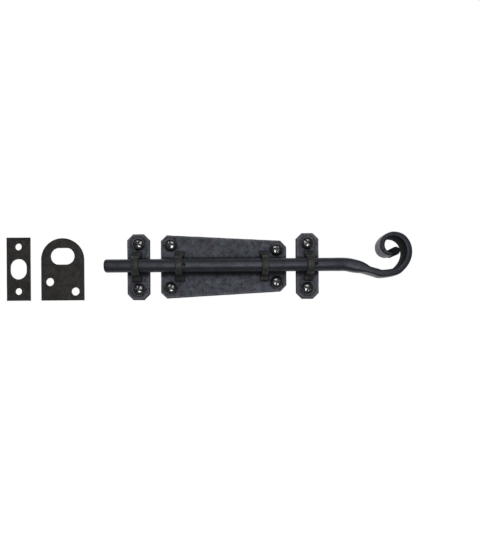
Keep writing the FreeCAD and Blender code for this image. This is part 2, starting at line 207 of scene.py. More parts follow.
class TailSizes(bpy.types.PropertyGroup):
    """Forged tail, from the rod's end to the rolled bead."""

    centre_along: length("Curl Centre Along", "From the rod's end to the curl's centre", 37.7)
    centre_up: length("Curl Centre Up", "From the rod's axis up to the curl's centre", 12.2)
    radius: length("Curl Radius", "Outside radius of the curl, level with its centre", 15.25)
    start: angle("Curl Start", "Where the neck turns into the curl, up from the bolt's line", -78.0)
    end: angle("Curl End", "Where the band meets its bead", 276.0)
    step: angle("Curl Step", "Turn from one station of the curl to the next", 17.7)
    tightening: share("Tightening", "How fast the curl tightens, per radian", 0.238)
    loosening: share("Loosening", "How far that eases, per radian squared", 0.0147)
    thickness_start: length("Band Thickness at Neck", "Thickness where the curl begins", 5.75)
    thickness_end: length("Band Thickness at Bead", "Thickness where the band ends", 2.6)
    width_start: length("Band Width at Neck", "Width where the curl begins", 14.0)
    width_end: length("Band Width at Bead", "Width where the band ends", 17.0)
    bead: length("Bead", "Diameter of the rolled bead", 6.1)
    bead_overlap: length("Bead Overlap", "How far the bead runs into the band", 0.8)
    dent: length("Tail Dent", "Depth of the hammer marks on the tail", 0.16)


class ScrewSizes(bpy.types.PropertyGroup):
    """Wood screws."""

    rim: length("Head Rim", "Height of the rim under the dome", 0.9)
    recess_length: length("Recess Length", "Length of one arm pair of the cross", 6.6)
    recess_width: length("Recess Width", "Width of the cross's arms", 1.5)
    recess_depth: length("Recess Depth", "Depth of the cross below the crown", 1.8)
    shank: length("Shank", "Diameter of the plain shank", 4.8)
    root: length("Thread Root", "Diameter at the bottom of the thread", 3.3)
    pitch: length("Thread Pitch", "From one thread to the next", 1.9)
    plain: length("Plain Shank", "Shank left plain behind the head", 8.0)
    point: length("Point", "Length of the tapered point", 6.0)
    tip: length("Tip", "Diameter of the tip", 0.5)


class Finish(bpy.types.PropertyGroup):
    """Colours of the finishes."""

    plate: colour("Plate Iron", "Waxed black iron of the plates", (0.011, 0.012, 0.015))
    plate_tint: colour("Plate Tint", "Blue-grey patches on the plates", (0.034, 0.039, 0.050))
    plate_bloom: colour("Plate Bloom", "Purple-brown bloom on the plates", (0.034, 0.026, 0.038))
    bar: colour("Bar Iron", "Black iron of the straps", (0.009, 0.009, 0.0087))
    bar_tint: colour("Bar Tint", "Rubbed parts of the straps", (0.022, 0.0215, 0.0205))
    rod: colour("Rod", "Dark burnished rod", (0.010, 0.011, 0.014))
    rod_tint: colour("Rod Tint", "Rubbed parts of the rod", (0.018, 0.020, 0.026))
    strike: colour("Strike Iron", "Dull brown-black iron of the strikes", (0.014, 0.013, 0.012))
    strike_tint: colour("Strike Tint", "Paler patches on the strikes", (0.032, 0.029, 0.027))
    screw: colour("Screw Lacquer", "Gloss black of the screw heads", (0.004, 0.004, 0.0045))
    steel: colour("Spring Steel", "Dark straw of the leaf spring", (0.16, 0.14, 0.11))
    # The rubbed edge colour, which is also the painted highlight along the plates' bevels
    worn_and_highlight: colour("Worn Edge and Highlight", "Iron rubbed bare along the edges", (0.085, 0.085, 0.095))
    floor: colour("Floor", "Pale studio floor", (0.90, 0.90, 0.90))


class Studio(bpy.types.PropertyGroup):
    """Camera, light and floor."""

    camera_side: FloatProperty(name="Camera Side", description="Camera's place along the bolt",
                               default=-1.64 * MM, subtype="DISTANCE", unit="LENGTH")
    camera_distance: length("Camera Distance", "From the door's face out to the camera", 369.0)
    camera_drop: length("Camera Drop", "How far the camera is below the bolt's line", 50.1)
    camera_roll: angle("Camera Roll", "Lean of the camera about its own view", 0.43)
    shift_side: share("Side Shift", "Lens shift toward the curl, in frame heights", 0.0336)
    shift_up: share("Upward Shift", "Upward lens shift, in frame heights", 0.1194)
    sensor: length("Sensor", "Long side of the camera's sensor", 36.0)
    lens: length("Lens", "Focal length", 32.24)
    room: brightness("Room Light", "Brightness of the room in front of the bolt", 0.10)
    backdrop: brightness("Backdrop", "Brightness of the pale backdrop behind the bolt", 1.4)
    near_light: power("Near Light", "Power of the small softbox beside the camera", 1.3)
    front_light: power("Front Light", "Power of the large softbox above the camera", 1.4)
    floor_drop: length("Floor Drop", "From the lowest point of the bolt down to the floor", 140.0)
    floor_size: length("Floor Size", "Length of the floor's sides", 6000.0)


# ---------------------------------------------------------------- shared mesh steps


def middle(node):
    """The middle of a node's box."""
    low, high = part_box(node)
    return (low + high) / 2


def stand_for(bm, name, node, material):
    """Turn a finished bmesh into a piece that stands for one CAD node and rides its body."""
    bmesh.ops.recalc_face_normals(bm, faces=bm.faces)
    mesh = bpy.data.meshes.new(name)
    bm.to_mesh(mesh)
    bm.free()
    mesh.shade_smooth()
    mesh.set_sharp_from_angle(angle=CREASE)
    mesh.materials.append(material)
    piece = bpy.data.objects.new(name, mesh)
    bpy.context.scene.collection.objects.link(piece)
    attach(piece, frame["nodes"][node]["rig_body"])
    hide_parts(node)


def layer(bm, name):
    """A float layer on the vertices, made when it isn't there yet."""
    return bm.verts.layers.float.get(name) or bm.verts.layers.float.new(name)


def edge_share(value, low, high):
    """0 below low, 1 above high and a soft step between them."""
    t = min(1.0, max(0.0, (value - low) / (high - low)))
    return t * t * (3 - 2 * t)


def mark_rim_wear_and_highlight(bm, corners, front_y, bevel, reach):
    """Note how near each front vertex is to the line where the bevel meets the flat, for a paler
    line there that is both rubbed wear and a painted highlight along that crease.
    """
    wear_and_highlight = layer(bm, "wear_and_highlight")
    ends = [Vector(corner) for corner in corners]
    for vert in bm.verts:
        if vert.co.y < front_y + 0.6 * bevel:
            here = Vector((vert.co.x, vert.co.z))
            nearest = min((here - intersect_point_line(here, first, second)[0]).length
                          for first, second in zip(ends, ends[1:] + ends[:1]))
            vert[wear_and_highlight] = 1 - edge_share(abs(nearest - bevel), 0.0, reach)


def paint_plate_shade(bm, node):
    """Paint shade on a plate: a painted shadow under the rod, and painted shade beside its straps
    and round its screw heads.
    """
    painted_shade_and_darkening = layer(bm, "painted_shade_and_darkening")
    heads = [(middle(name), (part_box(name)[1].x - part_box(name)[0].x) / 2) for name in SCREWS]
    straps = [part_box(name) for name, plate in STRAPS.items() if plate == node]
    for vert in bm.verts:
        x, z = vert.co.x, vert.co.z
        if vert.co.y > PLATE_FRONT / 2:
            continue
        dark = ROD_PAINTED_SHADOW * (1 - edge_share(abs(z) / ROD_RADIUS, 1.0, ROD_PAINTED_SHADOW_REACH))
        for centre, radius in heads:
            away = math.hypot(x - centre.x, z - centre.z) - radius
            dark = max(dark, HEAD_PAINTED_SHADE * (1 - edge_share(away / MM, 0.0, HEAD_PAINTED_SHADE_REACH)))
        for low, high in straps:
            away = max(low.x - x, x - high.x, abs(z) - high.z)
            dark = max(dark, STRAP_PAINTED_SHADE * (1 - edge_share(away / MM, 0.0, STRAP_PAINTED_SHADE_REACH)))
        vert[painted_shade_and_darkening] = dark


def crosscut(bm, direction, low, high, step):
    """Cut every face across at even steps, so that the mesh can carry small marks."""
    count = max(1, round((high - low) / step))
    for index in range(1, count):
        place = direction * (low + (high - low) * index / count)
        geom = bm.verts[:] + bm.edges[:] + bm.faces[:]
        bmesh.ops.bisect_plane(bm, geom=geom, dist=1e-7, plane_co=place, plane_no=direction)


def cut_in_cells(bm, low, high, cell):
    """Cut a plate's faces into small cells, along the bolt and up the door."""
    crosscut(bm, ALONG, low.x, high.x, cell)
    crosscut(bm, UP, low.z, high.z, cell)


def clear_of_the_parting(place):
    """0 where the rod and its tail part, rising to 1 at 6 mm from there."""
    return min(1.0, abs(place.x - ROD_HIGH.x) / (6 * MM))


def forge(bm, depth, size, seed, flat_y=None, fade=None):
    """Dent a surface inward in soft patches, leaving whatever lies on flat_y in its plane."""
    bmesh.ops.recalc_face_normals(bm, faces=bm.faces)
    bm.normal_update()
    offset = Vector((seed, seed * 0.37, -seed))
    for vert in bm.verts:
        broad = noise.noise(vert.co / size + offset)
        fine = noise.noise(vert.co / (size * 0.45) - offset)
        move = vert.normal * -depth * max(0.0, 0.5 + 0.6 * broad + 0.3 * fine)
        if fade is not None:
            move *= fade(vert.co)
        if flat_y is not None and abs(vert.co.y - flat_y) < FLUSH:
            move.y = 0
        vert.co += move


def ring(bm, x, y, z, radius, reach_x=0.0, reach_z=0.0):
    """Edges of a circle flat in the door's plane, or of a slot when it has a reach."""
    segments = 40
    lay = Matrix.Translation((x, y, z)) @ FACE_ON @ Matrix.Rotation(math.pi / segments, 4, "Z")
    made = bmesh.ops.create_circle(bm, cap_ends=False, segments=segments, radius=radius, matrix=lay)
    for vert in made["verts"]:
        vert.co.x += math.copysign(reach_x, vert.co.x - x)
        vert.co.z += math.copysign(reach_z, vert.co.z - z)
    return list({edge for vert in made["verts"] for edge in vert.link_edges})


def pierced_plate(bm, corners, front_y, bevel, holes):
    """A bevelled plate from its corners, with holes given as rings from its back to its front."""
    back = bm.faces.new([bm.verts.new((x, DOOR_FACE, z)) for x, z in corners])
    grown = bmesh.ops.extrude_face_region(bm, geom=[back])["geom"]
    verts = [item for item in grown if isinstance(item, bmesh.types.BMVert)]
    front = next(item for item in grown if isinstance(item, bmesh.types.BMFace))
    bmesh.ops.translate(bm, verts=verts, vec=(0, front_y + bevel - DOOR_FACE, 0))
    bmesh.ops.inset_region(bm, faces=[front], thickness=bevel, use_even_offset=True)
    bmesh.ops.translate(bm, verts=front.verts, vec=(0, -bevel, 0))
    back_edges, front_edges = list(back.edges), list(front.edges)
    bmesh.ops.delete(bm, geom=[back, front], context="FACES_ONLY")
    for rings in holes:
        loops = [ring(bm, *step) for step in rings]
        for behind, before in zip(loops, loops[1:]):
            bmesh.ops.bridge_loops(bm, edges=behind + before)
        back_edges += loops[0]
        front_edges += loops[-1]
    bmesh.ops.triangle_fill(bm, use_beauty=True, edges=back_edges)
    bmesh.ops.triangle_fill(bm, use_beauty=True, edges=front_edges)


def outline(node):
    """Corners of a straight-sided plate as (x, z), read from the frame."""
    points = [Vector((vert.co.x, vert.co.z)) for vert in frame["nodes"][node].data.vertices]
    hull = [points[index] for index in convex_hull_2d(points)]
    apart = [here for before, here in zip(hull[-1:] + hull[:-1], hull)
             if (here - before).length > 10 * FLUSH]
    corners = []
    for before, here, after in zip(apart[-1:] + apart[:-1], apart, apart[1:] + apart[:1]):
        if (here - before).angle(after - here) > math.radians(5):
            corners.append((here.x, here.y))
    return corners


def lathe(bm, profile, centre, steps=40):
    """Turn a profile of (radius, y) points about an axis through the door."""
    verts = [bm.verts.new((centre.x + radius, y, centre.z)) for radius, y in profile]
    edges = [bm.edges.new(pair) for pair in zip(verts, verts[1:])]
    bmesh.ops.spin(bm, geom=verts + edges, cent=centre, axis=INTO_DOOR, dvec=(0, 0, 0),
                   angle=2 * math.pi, steps=steps, use_merge=True)
    bmesh.ops.remove_doubles(bm, verts=bm.verts, dist=0.001 * MM)


def round_edges(bm, edges, radius, segments):
    """Round off some edges."""
    bmesh.ops.bevel(bm, geom=edges, offset=radius, offset_type="OFFSET", segments=segments,
                    profile=0.5, affect="EDGES", material=-1, clamp_overlap=True)


def draw_out(bm, edges):
    """Extrude a ring of edges, and give its new vertices and edges."""
    made = bmesh.ops.extrude_edge_only(bm, edges=edges)["geom"]
    verts = [item for item in made if isinstance(item, bmesh.types.BMVert)]
    new = set(verts)
    return verts, [item for item in made
                   if isinstance(item, bmesh.types.BMEdge) and new.issuperset(item.verts)]


def sweep(bm, stations, points):
    """Draw a closed bar out through its stations, ring after ring, and close its ends.

    A station is its centre, its directions across and through the bar, its width and
    thickness, and its squareness: 2 is an oval, and more is boxier.
    """
    turn = layer(bm, "turn")
    wear_and_highlight = layer(bm, "wear_and_highlight")
    inner = layer(bm, "inner")

    def place(verts, station):
        centre, across, through, width, thickness, squareness = station
        for vert in verts:
            cosine, sine = math.cos(vert[turn]), math.sin(vert[turn])
            u = math.copysign(abs(cosine) ** (2 / squareness), cosine) * width / 2
            v = math.copysign(abs(sine) ** (2 / squareness), sine) * thickness / 2
            vert.co = centre + across * u + through * v
            vert[wear_and_highlight] = edge_share(min(abs(2 * u / width), abs(2 * v / thickness)), 0.78, 0.95)
            vert[inner] = 2 * v / thickness

    verts = bmesh.ops.create_circle(bm, cap_ends=False, segments=points, radius=1.0)["verts"]
    for index, vert in enumerate(verts):
        vert[turn] = 2 * math.pi * index / points
    place(verts, stations[0])
    edges = list({edge for vert in verts for edge in vert.link_edges})
    first = edges
    for station in stations[1:]:
        verts, edges = draw_out(bm, edges)
        place(verts, station)
    bmesh.ops.holes_fill(bm, edges=first + edges, sides=0)


def arc(centre, radius, start, end, count):
    """Points along an arc in a plane, with their directions of travel."""
    side = 1 if end > start else -1
    for index in range(count + 1):
        turn = start + (end - start) * index / count
        outward = Vector((math.cos(turn), math.sin(turn)))
        yield centre + outward * radius, Vector((-outward.y, outward.x)) * side


def catmull_rom(numbers, t):
    """A value between the second and third of four numbers, on a smooth curve through them."""
    before, first, second, after = numbers
    return 0.5 * (2 * first + (second - before) * t
                  + (2 * before - 5 * first + 4 * second - after) * t ** 2
                  + (3 * first - before - 3 * second + after) * t ** 3)


# ---------------------------------------------------------------- materials


def node_of(tree, kind, **settings):
    """Add one shader node, with its properties or input defaults set by name."""
    node = tree.nodes.new(kind)
    for name, value in settings.items():
        if hasattr(node, name):
            setattr(node, name, value)
        else:
            node.inputs[name.replace("_", " ").title()].default_value = value
    return node


def noise_value(tree, place, size, detail=4.0, roughness=0.55):
    """Soft random values whose patches are about size across."""
    texture = node_of(tree, "ShaderNodeTexNoise", scale=1 / size, detail=detail,
                      roughness=roughness)
    tree.links.new(place, texture.inputs["Vector"])
    return texture.outputs["Fac"]


def feed(tree, socket, value):
    """Give a socket another node's output, or else a fixed colour or number."""
    if isinstance(value, bpy.types.NodeSocket):
        tree.links.new(value, socket)
    else:
        socket.default_value = (*value, 1.0) if socket.type == "RGBA" else value


def remap(tree, value, low, high, to_low, to_high):
    """Stretch a range of values to another, with soft ends."""
    node = node_of(tree, "ShaderNodeMapRange", interpolation_type="SMOOTHSTEP",
                   from_min=low, from_max=high, to_min=to_low, to_max=to_high)
    feed(tree, node.inputs["Value"], value)
    return node.outputs["Result"]


def blend_colours(tree, share_of_second, first, second):
    """Mix two colours, each a fixed colour or another node's output."""
    node = node_of(tree, "ShaderNodeMix", data_type="RGBA")
    for index, value in ((0, share_of_second), (6, first), (7, second)):
        feed(tree, node.inputs[index], value)
    return node.outputs[2]


def arithmetic(tree, operation, first, second):
    """One sum or product of two values, each a number or a node's output."""
    node = node_of(tree, "ShaderNodeMath", operation=operation)
    feed(tree, node.inputs[0], first)
    feed(tree, node.inputs[1], second)
    return node.outputs[0]


def forged_iron(name, dark, pale, worn_and_highlight, patch, grain, roughness, relief, stretch=(1, 1, 1),
                wear_and_highlight=0.6, specular=0.3, tint=(0.84, 0.90, 1.0), bloom=None, refraction=1.5):
    """Blackened iron: two tones in patches, fine pits, edges rubbed paler and smoother (along a
    plate's bevel also a painted highlight), and near black where the darkening layer is set, mostly
    as painted shade.
    """
    material = bpy.data.materials.new(name)
    material.use_nodes = True
    tree = material.node_tree
    shader = tree.nodes["Principled BSDF"]
    shader.inputs["Specular IOR Level"].default_value = specular
    shader.inputs["Specular Tint"].default_value = (*tint, 1.0)
    shader.inputs["IOR"].default_value = refraction
    coordinates = node_of(tree, "ShaderNodeTexCoord")
    mapping = tree.nodes.new("ShaderNodeMapping")
    mapping.inputs["Scale"].default_value = stretch
    tree.links.new(coordinates.outputs["Object"], mapping.inputs["Vector"])
    place = mapping.outputs["Vector"]

    def times(value, factor):
        return arithmetic(tree, "MULTIPLY", value, factor)

    patches = noise_value(tree, place, patch, detail=5.0, roughness=0.62)
    mottle = noise_value(tree, place, patch * 0.31, detail=3.0)
    grains = noise_value(tree, place, grain, detail=6.0, roughness=0.7)
    tone = arithmetic(tree, "ADD", times(patches, 0.6), times(mottle, 0.4))
    body = blend_colours(tree, remap(tree, tone, 0.36, 0.64, 0.0, 1.0), dark, pale)
    if bloom is not None:
        cloud = remap(tree, noise_value(tree, place, patch * 1.7, detail=4.0), 0.50, 0.62, 0.0, 0.8)
        body = blend_colours(tree, cloud, body, bloom)
    pits = remap(tree, grains, 0.30, 0.44, 1.0, 0.0)
    body = blend_colours(tree, times(pits, 0.55), body, tuple(0.35 * part for part in dark))

    # Edges rubbed paler and smoother; along a plate's bevel this paler line is also a painted
    # highlight
    edges = node_of(tree, "ShaderNodeAttribute", attribute_name="wear_and_highlight").outputs["Fac"]
    rubbed_and_highlit = times(edges, remap(tree, mottle, 0.30, 0.62, 0.25, wear_and_highlight))
    body = blend_colours(tree, rubbed_and_highlit, body, worn_and_highlight)
    # Near black from the darkening layer: painted shade on the plates, in the screw recesses and in
    # and round the curl, and plain darkening of the strap feet and stop pins
    painted_shade_and_darkening = node_of(tree, "ShaderNodeAttribute", attribute_name="painted_shade_and_darkening").outputs["Fac"]
    body = blend_colours(tree, painted_shade_and_darkening, body, (0.002, 0.002, 0.002))
    tree.links.new(body, shader.inputs["Base Color"])

    low, high = roughness
    surface = remap(tree, tone, 0.34, 0.66, high, low)
    surface = arithmetic(tree, "SUBTRACT", surface, times(rubbed_and_highlit, 0.12))
    surface = arithmetic(tree, "ADD", surface, times(painted_shade_and_darkening, 0.6))
    tree.links.new(surface, shader.inputs["Roughness"])

    bump = node_of(tree, "ShaderNodeBump", strength=1.0, distance=relief)
    height = arithmetic(tree, "ADD", times(mottle, 0.7), times(grains, 0.3))
    tree.links.new(height, bump.inputs["Height"])
    tree.links.new(bump.outputs["Normal"], shader.inputs["Normal"])
    return material


def plate_iron(finish):
    """Waxed black iron, with the blue and purple bloom of the plates."""
    return forged_iron("Waxed Black Iron", finish.plate, finish.plate_tint, finish.worn_and_highlight,
                       patch=3.6 * MM, grain=0.9 * MM, roughness=(0.46, 0.72), relief=0.24 * MM,
                       wear_and_highlight=0.9, bloom=finish.plate_bloom)


def bar_iron(finish):
    """Black iron of the straps and the rivet."""
    return forged_iron("Black Bar Iron", finish.bar, finish.bar_tint, finish.worn_and_highlight,
                       patch=4.0 * MM, grain=0.7 * MM, roughness=(0.48, 0.66), relief=0.12 * MM,
                       tint=(1.0, 0.99, 0.97))


def rod_iron(finish):
    """The rod and its forged tail, smoother than the plates and rubbed by the straps."""
    return forged_iron("Burnished Black Rod", finish.rod, finish.rod_tint, finish.worn_and_highlight,
                       patch=5.0 * MM, grain=0.6 * MM, roughness=(0.38, 0.54), relief=0.07 * MM,
                       stretch=(0.5, 1, 1), wear_and_highlight=0.25)


def strike_iron(finish):
    """Dull, unwaxed iron of the two strikes."""
    return forged_iron("Dull Strike Iron", finish.strike, finish.strike_tint, finish.worn_and_highlight,
                       patch=4.5 * MM, grain=0.8 * MM, roughness=(0.62, 0.80), relief=0.10 * MM,
                       wear_and_highlight=0.2, specular=0.20, tint=(1.0, 0.97, 0.94))


def screw_lacquer(finish):
    """Gloss black lacquer over the screw heads, thin and a little uneven."""
    return forged_iron("Gloss Black Screw", finish.screw, finish.screw, finish.worn_and_highlight,
                       patch=2.4 * MM, grain=0.5 * MM, roughness=(0.10, 0.20), relief=0.02 * MM,
                       wear_and_highlight=0.15, specular=1.0, tint=(1.0, 1.0, 1.0), refraction=1.75)


def spring_metal(finish):
    """Hardened leaf steel, with fine lines drawn along it."""
    material = forged_iron("Spring Steel", tuple(0.6 * part for part in finish.steel), finish.steel,
                           finish.worn_and_highlight, patch=7.0 * MM, grain=0.5 * MM, roughness=(0.30, 0.42),
                           relief=0.03 * MM, stretch=(0.12, 1, 1), wear_and_highlight=0.3)
    material.node_tree.nodes["Principled BSDF"].inputs["Metallic"].default_value = 1.0
    return material


# ---------------------------------------------------------------- the operators


def straight_hole(x, z, diameter):
    """Rings of a plain hole through a plate."""
    return [(x, DOOR_FACE, z, diameter / 2), (x, PLATE_FRONT, z, diameter / 2)]


def peened_hole(x, z, sizes):
    """Rings of a tenon's hole, wider at the back where the tenon is hammered over."""
    narrow, wide = sizes.tenon / 2 + sizes.tenon_gap, sizes.peen / 2 + sizes.tenon_gap
    return [(x, DOOR_FACE, z, wide), (x, DOOR_FACE - sizes.peen_depth, z, narrow),
            (x, PLATE_FRONT, z, narrow)]


def peened_end(sizes):
    """Profile of a tenon's or rivet's end at the plate's back, from its middle outward."""
    return ((0, DOOR_FACE), (sizes.peen / 2, DOOR_FACE),
            (sizes.tenon / 2, DOOR_FACE - sizes.peen_depth))


def tenon_height(node, sizes):
    """How far a strap's tenons are above and below the rod's line."""
    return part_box(node)[1].z - sizes.peen / 2


class SLIDE_BOLT_OT_plates(bpy.types.Operator):
    """Forge the backplate, the keeper plate and the guide plate"""

    bl_idname = "slide_bolt.plates"
    bl_label = "Plates"

    def execute(self, context):
        sizes = context.scene.slide_bolt_plates
        iron = plate_iron(context.scene.slide_bolt_finish)
        first, step = PLATE_MARKS
        for index, node in enumerate(("backplate", "keeper_plate", "guide_plate")):
            low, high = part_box(node)
            holes = []
            for name in SCREWS:
                centre = middle(name)
                if low.x < centre.x < high.x:
                    holes.append(straight_hole(centre.x, centre.z, sizes.screw_hole))
            for name, plate in STRAPS.items():
                if plate == node:
                    for side in (1, -1):
                        height = side * tenon_height(name, sizes)
                        holes.append(peened_hole(middle(name).x, height, sizes))
            if node == "backplate":
                holes.append(peened_hole(middle("spring_rivet").x, 0.0, sizes))
            bevel = sizes.backplate_bevel if node == "backplate" else sizes.small_plate_bevel
            corners = outline(node)
            bm = bmesh.new()
            pierced_plate(bm, corners, low.y, bevel, holes)
            cut_in_cells(bm, low, high, sizes.mesh_cell)
            # A paler line along the bevel: rubbed wear and a painted highlight
            mark_rim_wear_and_highlight(bm, corners, low.y, bevel, sizes.wear_and_highlight_reach)
            # Painted shade on the plate: a painted shadow under the rod, and shade beside the
            # straps and round the screw heads
            paint_plate_shade(bm, node)
            forge(bm, sizes.dent_depth, sizes.dent_size, first + index * step, flat_y=DOOR_FACE)
            stand_for(bm, "forged_" + node, node, iron)
        return {"FINISHED"}


class SLIDE_BOLT_OT_straps(bpy.types.Operator):
    """Bend the four straps over the rod and rivet their feet through the plates"""

    bl_idname = "slide_bolt.straps"
    bl_label = "Straps"

    squareness = 4.5

    def stations(self, node, bars):
        """The strap's middle line, from its lower toe over the rod to its upper toe."""
        low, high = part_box(node)
        x, width, spread = (low.x + high.x) / 2, bars.strap_width, high.x - low.x
        over, foot = bars.strap_thickness, bars.strap_foot
        crown = Vector((0.0, PLATE_FRONT - ROD_Y))
        arch_radius = ROD_Y - low.y - over / 2
        bend = bars.strap_heel + over / 2
        heel = Vector((arch_radius + bend, foot / 2 + bend))
        toe = Vector((ROD_Y - low.y + bars.strap_foot_length, foot / 2))
        half = []
        for inset, shrink in ((0.0, 0.45), (0.12, 0.78), (0.35, 0.93), (0.7, 1.0), (1.2, 1.0)):
            half.append((toe - Vector((inset * MM, 0)), Vector((-1, 0)),
                         spread * (0.5 + 0.5 * shrink), foot * shrink))
        steps = 8
        for index, (point, travel) in enumerate(arc(heel, bend, -math.pi / 2, -math.pi, steps)):
            drawn = index / steps
            half.append((point, travel, spread + (width - spread) * drawn ** 0.6,
                         foot + (over - foot) * drawn))
        for point, travel in arc(crown, arch_radius, 0.0, math.pi / 2, 18):
            half.append((point, travel, width, over))
        mirrored = [(Vector((-point.x, point.y)), Vector((travel.x, -travel.y)), wide, thick)
                    for point, travel, wide, thick in reversed(half[:-1])]
        made = []
        for point, travel, wide, thick in half + mirrored:
            centre = Vector((x, PLATE_FRONT - point.y, point.x))
            through = Vector((0, -travel.x, -travel.y))
            made.append((centre, ALONG, through, wide, thick, self.squareness))
        return made

    def execute(self, context):
        sizes, bars = context.scene.slide_bolt_plates, context.scene.slide_bolt_bars
        iron = bar_iron(context.scene.slide_bolt_finish)
        first, step = STRAP_MARKS
        for index, node in enumerate(STRAPS):
            bm = bmesh.new()
            sweep(bm, self.stations(node, bars), 32)
            # Darken the straps' feet, away from the rod
            painted_shade_and_darkening = layer(bm, "painted_shade_and_darkening")
            for vert in bm.verts:
                vert[painted_shade_and_darkening] = bars.foot_darkening * edge_share(abs(vert.co.z) / ROD_RADIUS, 1.25, 1.7)
            forge(bm, bars.strap_dent, 3.2 * MM, first + index * step, flat_y=PLATE_FRONT)
            for side in (1, -1):
                centre = Vector((middle(node).x, 0, side * tenon_height(node, sizes)))
                inside = PLATE_FRONT - bars.strap_foot / 2
                lathe(bm, (*peened_end(sizes), (sizes.tenon / 2, inside), (0, inside)), centre)
            stand_for(bm, "forged_" + node, node, iron)
        return {"FINISHED"}


class SLIDE_BOLT_OT_spring(bpy.types.Operator):
    """Bow the friction spring behind the rod and rivet it to the backplate"""

    bl_idname = "slide_bolt.spring"
    bl_label = "Friction Spring"

    squareness = 9.0

    def execute(self, context):
        sizes, bars = context.scene.slide_bolt_plates, context.scene.slide_bolt_bars
        low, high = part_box("friction_spring")
        thickness = bars.spring_thickness
        rise = high.y - low.y - thickness
        bend_x = high.x - bars.spring_tab
        half, crown_x = (bend_x - low.x) / 2, (bend_x + low.x) / 2
        stations, steps = [], 36
        for index in range(steps + 1):
            x = low.x + (high.x - low.x) * index / steps
            share_along = (x - crown_x) / half
            lift = rise * max(0.0, 1 - share_along ** 2)
            slope = -2 * rise * share_along / half if abs(share_along) < 1 else 0.0
            centre = Vector((x, high.y - thickness / 2 - lift, 0))
            through = Vector((slope, 1, 0)).normalized()
            stations.append((centre, UP, through, high.z - low.z, thickness, self.squareness))
        bm = bmesh.new()
        sweep(bm, stations, 24)
        stand_for(bm, "leaf_spring", "friction_spring",
                  spring_metal(context.scene.slide_bolt_finish))

        low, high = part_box("spring_rivet")
        centre = middle("spring_rivet")
        head = (high.x - low.x) / 2
        under_head = low.y + bars.rivet_head
        bm = bmesh.new()
        profile = (*peened_end(sizes), (sizes.tenon / 2, under_head), (head, under_head),
                   (head * 0.96, (low.y + under_head) / 2), (head * 0.75, low.y), (0, low.y))
        lathe(bm, profile, Vector((centre.x, 0, centre.z)))
        stand_for(bm, "round_head_rivet", "spring_rivet",
                  bar_iron(context.scene.slide_bolt_finish))
        return {"FINISHED"}


class SLIDE_BOLT_OT_rod(bpy.types.Operator):
    """Draw the round rod with its rounded nose, and drive in the two stop pins"""

    bl_idname = "slide_bolt.rod"
    bl_label = "Rod and Stop Pins"

    def execute(self, context):
        bars, finish = context.scene.slide_bolt_bars, context.scene.slide_bolt_finish
        iron = rod_iron(finish)
        span = ROD_HIGH.x - ROD_LOW.x
        lay = (Matrix.Translation((ROD_LOW.x + span / 2, ROD_Y, 0))
               @ Matrix.Rotation(QUARTER_TURN, 4, "Y"))
        bm = bmesh.new()
        bmesh.ops.create_cone(bm, cap_ends=True, segments=56, radius1=ROD_RADIUS,
                              radius2=ROD_RADIUS, depth=span, matrix=lay)
        nose = [edge for edge in bm.edges
                if all(vert.co.x < ROD_LOW.x + FLUSH for vert in edge.verts)]
        round_edges(bm, nose, bars.nose_round, 7)
        crosscut(bm, ALONG, ROD_LOW.x + bars.nose_round, ROD_HIGH.x, 1.3 * MM)

        forge(bm, bars.rod_dent, 7.0 * MM, ROD_MARKS, fade=clear_of_the_parting)
        stand_for(bm, "burnished_rod", "bolt_rod", iron)

        for node in ("stop_pin_middle", "stop_pin_curl_end"):
            low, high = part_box(node)
            centre, radius = middle(node), (high.x - low.x) / 2
            proud = high.y - low.y - bars.pin_depth
            profile = [(0, high.y), (radius, high.y)]
            for point, _ in arc(Vector((0, 0)), 1.0, 0.0, math.pi / 2, 6):
                profile.append((radius * (0.4 + 0.6 * point.x) if point.x > 0.01 else 0.0,
                                low.y + proud * 0.55 * (1 - point.y)))
            bm = bmesh.new()
            lathe(bm, profile, Vector((centre.x, 0, centre.z)), steps=28)
            painted_shade_and_darkening = layer(bm, "painted_shade_and_darkening")
            for vert in bm.verts:
                vert[painted_shade_and_darkening] = bars.pin_soot
            stand_for(bm, "driven_" + node, node, iron)
        return {"FINISHED"}


